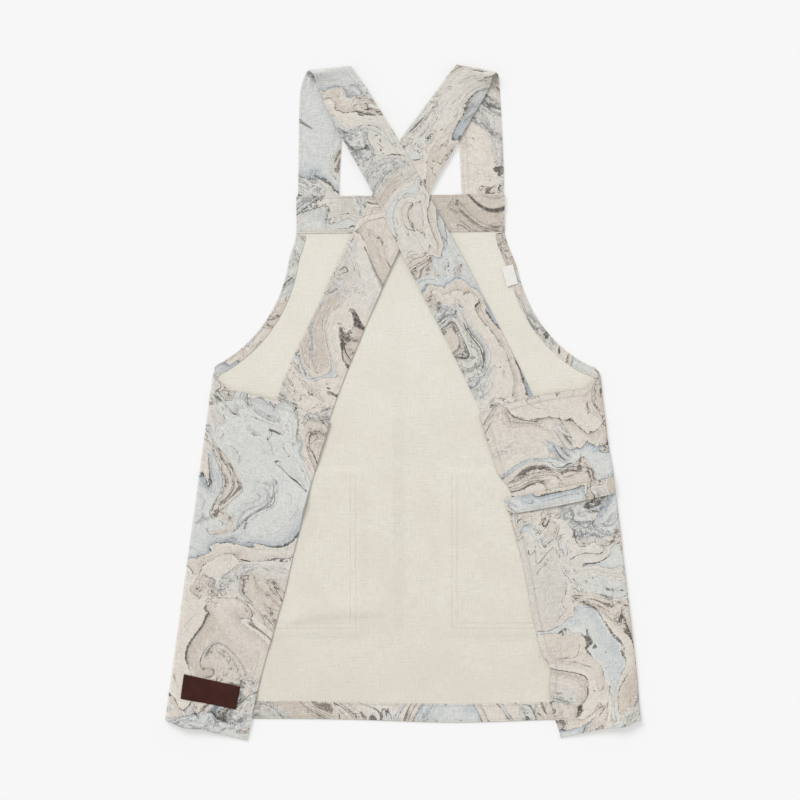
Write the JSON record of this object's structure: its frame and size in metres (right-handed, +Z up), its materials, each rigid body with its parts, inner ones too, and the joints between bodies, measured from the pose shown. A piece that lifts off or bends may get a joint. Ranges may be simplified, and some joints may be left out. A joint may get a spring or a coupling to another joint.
{
  "type": "cross-back smock apron",
  "caption": "Cross-back smock apron in marbled linen lying flat with its plain inside up, sides folded in and wide straps crossed over the bib.",
  "frame": {"origin": "middle of the smock's outline as it lies, on the surface that it lies on", "axes": "+Z up from the surface, +Y towards the shoulder folds of the straps, +X towards the towel loop"},
  "size_m": [0.665, 0.946, 0.0081],
  "materials": {
    "printed_linen": "matte plain weave, marbled print outside and plain cream inside",
    "label_leather": "smooth dark brown leather, bare",
    "white_tape": "plain white satin tape"
  },
  "bodies": {
    "root": {"body_panel": "printed_linen", "hem_facing": "printed_linen", "bib_facing": "printed_linen", "armhole_facing_left": "printed_linen", "armhole_facing_right": "printed_linen", "strap_left": "printed_linen", "strap_right": "printed_linen", "pocket_left": "printed_linen", "pocket_right": "printed_linen", "towel_loop": "printed_linen", "label_patch": "label_leather", "care_tag": "white_tape"}
  },
  "joints": []
}
